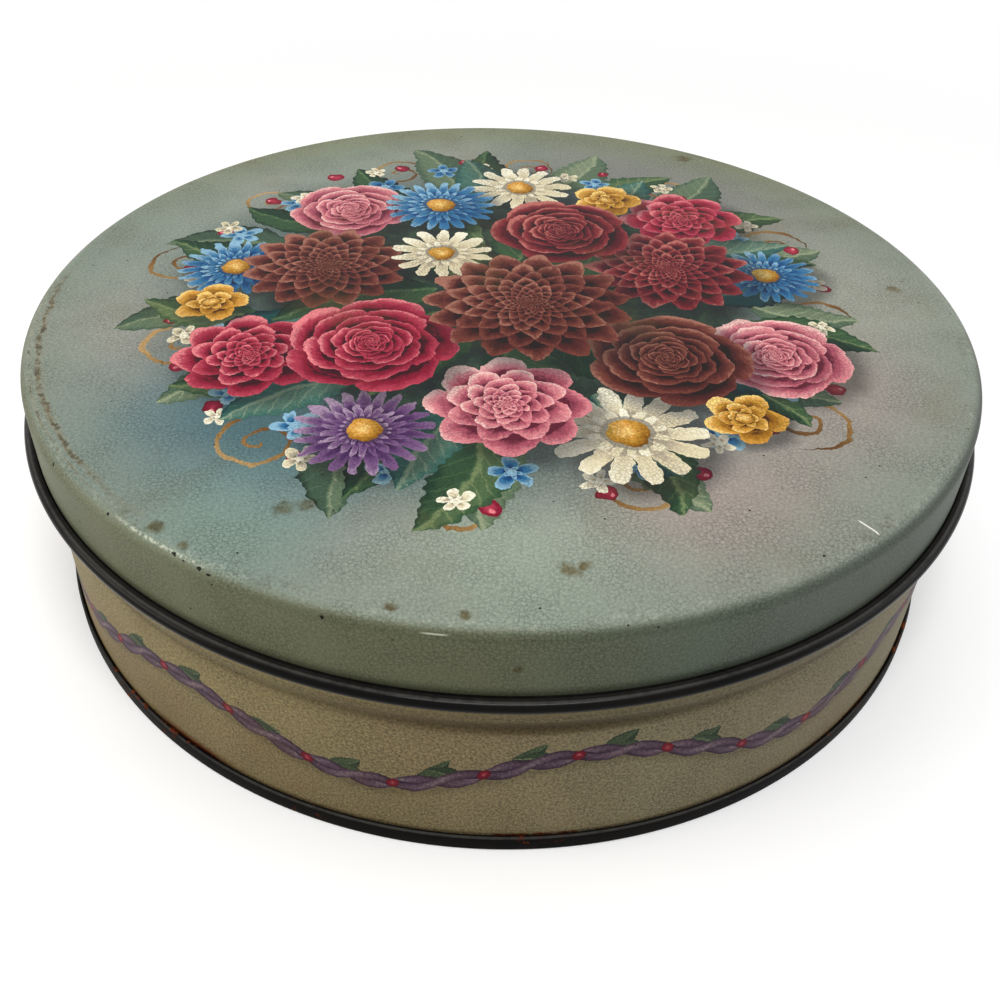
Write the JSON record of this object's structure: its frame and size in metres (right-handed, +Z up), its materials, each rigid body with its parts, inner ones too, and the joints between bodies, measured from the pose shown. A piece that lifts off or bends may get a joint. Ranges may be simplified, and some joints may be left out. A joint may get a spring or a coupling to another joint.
{
  "type": "round sewing tin",
  "caption": "Shallow round tin of printed tinplate with a lift-off slip lid, curled lid edge, stop bead and seamed-in base, for sewing things, biscuits or keepsakes.",
  "frame": {"origin": "on the tin's axis, at the level of the surface it stands on", "axes": "+Z up along the tin's axis, and +Y towards the back, where the wall's side seam is"},
  "size_m": [0.2042, 0.2042, 0.0561],
  "materials": {
    "lid_print": "satin print on tinplate, crackled and worn, with a black curl and plain metal inside",
    "wall_print": "satin print on tinplate, crackled, with plain metal inside",
    "base_black": "satin black on tinplate, rusting along the seam, plain metal inside"
  },
  "bodies": {
    "tin": {"body_wall": "wall_print", "base_panel": "base_black"},
    "lid": {"lid": "lid_print"}
  },
  "joints": [
    {"name": "lid_lift", "type": "slide", "parent": "tin", "child": "lid", "axis": [0, 0, 1], "range_m": [0, 0.1]}
  ]
}
